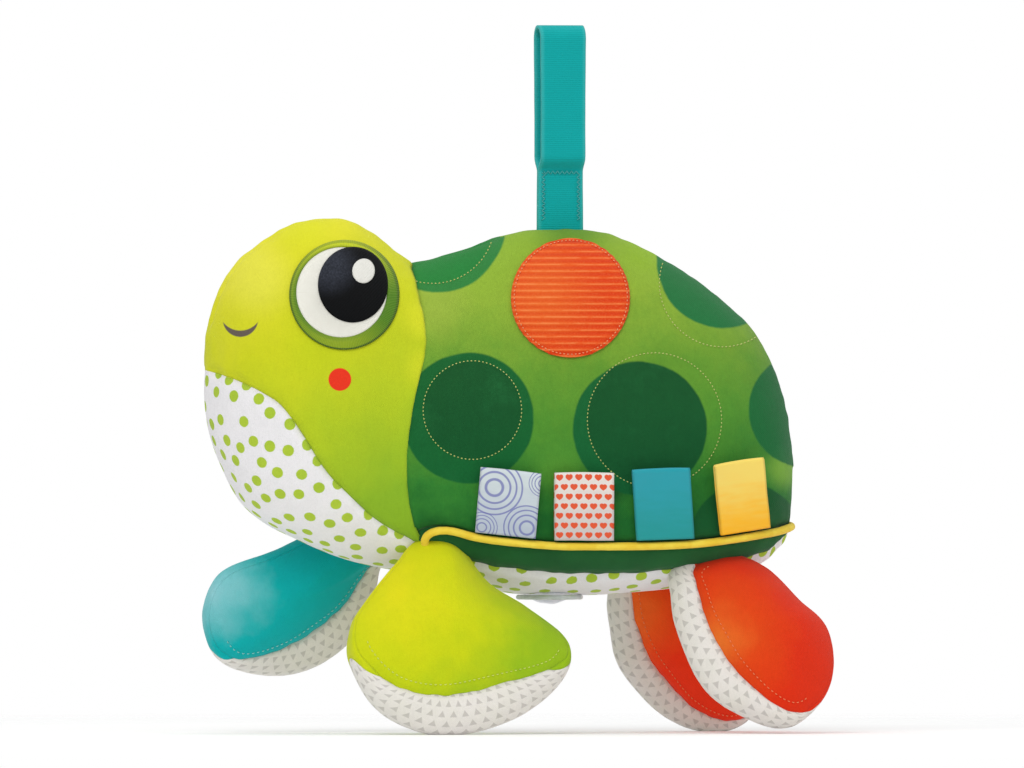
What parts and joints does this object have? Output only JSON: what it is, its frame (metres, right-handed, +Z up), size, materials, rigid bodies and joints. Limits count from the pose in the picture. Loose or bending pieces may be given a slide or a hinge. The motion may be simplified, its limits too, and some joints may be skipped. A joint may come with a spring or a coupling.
{
  "type": "plush turtle",
  "caption": "Stuffed fabric turtle with a padded shell, hinged flippers, ribbon tags round the shell and a hanging strap on its back.",
  "frame": {"origin": "inside the top of the strap's loop, where the toy hangs", "axes": "+Z up, the head towards -X, the turtle's left side towards -Y"},
  "size_m": [0.2624, 0.1106, 0.2973],
  "materials": {
    "fibre_filling": "matte",
    "shell_print": "matte",
    "rim_print": "matte",
    "dotted_cotton": "matte",
    "head_print": "matte",
    "piping_cord": "matte",
    "orange_corduroy": "matte",
    "eye_ring_thread": "matte",
    "white_thread": "matte",
    "black_thread": "matte",
    "ring_ribbon": "matte",
    "orange_ribbon": "matte",
    "teal_ribbon": "matte",
    "yellow_ribbon": "matte",
    "teal_velour": "matte",
    "mirror_film": "gloss",
    "binding_cord": "matte",
    "sole_print": "matte",
    "lime_plush": "matte",
    "teal_plush": "matte",
    "orange_plush": "matte"
  },
  "bodies": {
    "stuffed_body": {"body_filling": "fibre_filling", "head_filling": "fibre_filling", "shell_panel_left": "shell_print", "shell_panel_right": "shell_print", "rim_band_left": "rim_print", "rim_band_right": "rim_print", "belly_panel": "dotted_cotton", "chest_gusset": "dotted_cotton", "head_panel_left": "head_print", "head_panel_right": "head_print", "shell_piping": "piping_cord", "corduroy_patch_left": "orange_corduroy", "corduroy_patch_right": "orange_corduroy", "eye_ring_left": "eye_ring_thread", "eye_white_left": "white_thread", "eye_pupil_left": "black_thread", "eye_highlight_left": "white_thread", "eye_ring_right": "eye_ring_thread", "eye_white_right": "white_thread", "eye_pupil_right": "black_thread", "eye_highlight_right": "white_thread", "mirror_film": "mirror_film", "mirror_binding": "binding_cord"},
    "tag_ring_print_left": {"tag_ring_print_left": "ring_ribbon"},
    "tag_dotted_left": {"tag_dotted_left": "orange_ribbon"},
    "tag_teal_satin_left": {"tag_teal_satin_left": "teal_ribbon"},
    "tag_yellow_satin_left": {"tag_yellow_satin_left": "yellow_ribbon"},
    "tag_ring_print_right": {"tag_ring_print_right": "ring_ribbon"},
    "tag_dotted_right": {"tag_dotted_right": "orange_ribbon"},
    "tag_teal_satin_right": {"tag_teal_satin_right": "teal_ribbon"},
    "tag_yellow_satin_right": {"tag_yellow_satin_right": "yellow_ribbon"},
    "strap": {"hanging_strap": "teal_velour"},
    "front_left_flipper": {"front_left_flipper_filling": "fibre_filling", "front_left_flipper_outer_panel": "lime_plush", "front_left_flipper_inner_panel": "lime_plush", "front_left_flipper_side_strip": "lime_plush", "front_left_flipper_sole": "sole_print"},
    "front_right_flipper": {"front_right_flipper_filling": "fibre_filling", "front_right_flipper_outer_panel": "teal_plush", "front_right_flipper_inner_panel": "teal_plush", "front_right_flipper_side_strip": "teal_plush", "front_right_flipper_sole": "sole_print"},
    "rear_left_flipper": {"rear_left_flipper_filling": "fibre_filling", "rear_left_flipper_outer_panel": "orange_plush", "rear_left_flipper_inner_panel": "orange_plush", "rear_left_flipper_side_strip": "orange_plush", "rear_left_flipper_sole": "sole_print"},
    "rear_right_flipper": {"rear_right_flipper_filling": "fibre_filling", "rear_right_flipper_outer_panel": "orange_plush", "rear_right_flipper_inner_panel": "orange_plush", "rear_right_flipper_side_strip": "orange_plush", "rear_right_flipper_sole": "sole_print"}
  },
  "joints": [
    {"name": "front_left_flipper_swing", "type": "hinge", "parent": "stuffed_body", "child": "front_left_flipper", "pos_m": [-0.05679, -0.02475, -0.22169], "axis": [-1, 0, 0], "range_deg": [-10, 40], "stiffness_Nm_per_rad": 0.6},
    {"name": "front_right_flipper_swing", "type": "hinge", "parent": "stuffed_body", "child": "front_right_flipper", "pos_m": [-0.07024, 0.027, -0.21978], "axis": [1, 0, 0], "range_deg": [-10, 40], "stiffness_Nm_per_rad": 0.6},
    {"name": "rear_left_flipper_swing", "type": "hinge", "parent": "stuffed_body", "child": "rear_left_flipper", "pos_m": [0.06555, -0.0216, -0.22572], "axis": [-1, 0, 0], "range_deg": [-10, 40], "stiffness_Nm_per_rad": 0.6},
    {"name": "rear_right_flipper_swing", "type": "hinge", "parent": "stuffed_body", "child": "rear_right_flipper", "pos_m": [0.05341, 0.0216, -0.22572], "axis": [1, 0, 0], "range_deg": [-10, 40], "stiffness_Nm_per_rad": 0.6},
    {"name": "strap_swing", "type": "hinge", "parent": "stuffed_body", "child": "strap", "pos_m": [0, 0, -0.0818], "axis": [1, 0, 0], "range_deg": [-70, 70], "stiffness_Nm_per_rad": 0.05},
    {"name": "tag_ring_print_left_flap", "type": "hinge", "parent": "stuffed_body", "child": "tag_ring_print_left", "pos_m": [-0.0341, -0.03875, -0.21237], "axis": [0.9831, -0.1474, -0.1087], "range_deg": [0, 75], "stiffness_Nm_per_rad": 0.004},
    {"name": "tag_dotted_left_flap", "type": "hinge", "parent": "stuffed_body", "child": "tag_dotted_left", "pos_m": [-0.00045, -0.04061, -0.2145], "axis": [0.9996, -0.0257, -0.0065], "range_deg": [0, 75], "stiffness_Nm_per_rad": 0.004},
    {"name": "tag_teal_satin_left_flap", "type": "hinge", "parent": "stuffed_body", "child": "tag_teal_satin_left", "pos_m": [0.03508, -0.03971, -0.21418], "axis": [0.9964, 0.0784, 0.0324], "range_deg": [0, 75], "stiffness_Nm_per_rad": 0.004},
    {"name": "tag_yellow_satin_left_flap", "type": "hinge", "parent": "stuffed_body", "child": "tag_yellow_satin_left", "pos_m": [0.07162, -0.03335, -0.21091], "axis": [0.9311, 0.342, 0.1264], "range_deg": [0, 75], "stiffness_Nm_per_rad": 0.004},
    {"name": "tag_ring_print_right_flap", "type": "hinge", "parent": "stuffed_body", "child": "tag_ring_print_right", "pos_m": [-0.0341, 0.03875, -0.21237], "axis": [-0.9831, -0.1474, 0.1087], "range_deg": [0, 75], "stiffness_Nm_per_rad": 0.004},
    {"name": "tag_dotted_right_flap", "type": "hinge", "parent": "stuffed_body", "child": "tag_dotted_right", "pos_m": [-0.00045, 0.04061, -0.2145], "axis": [-0.9996, -0.0257, 0.0065], "range_deg": [0, 75], "stiffness_Nm_per_rad": 0.004},
    {"name": "tag_teal_satin_right_flap", "type": "hinge", "parent": "stuffed_body", "child": "tag_teal_satin_right", "pos_m": [0.03508, 0.03971, -0.21418], "axis": [-0.9964, 0.0784, -0.0324], "range_deg": [0, 75], "stiffness_Nm_per_rad": 0.004},
    {"name": "tag_yellow_satin_right_flap", "type": "hinge", "parent": "stuffed_body", "child": "tag_yellow_satin_right", "pos_m": [0.07162, 0.03335, -0.21091], "axis": [-0.9311, 0.342, -0.1264], "range_deg": [0, 75], "stiffness_Nm_per_rad": 0.004}
  ]
}
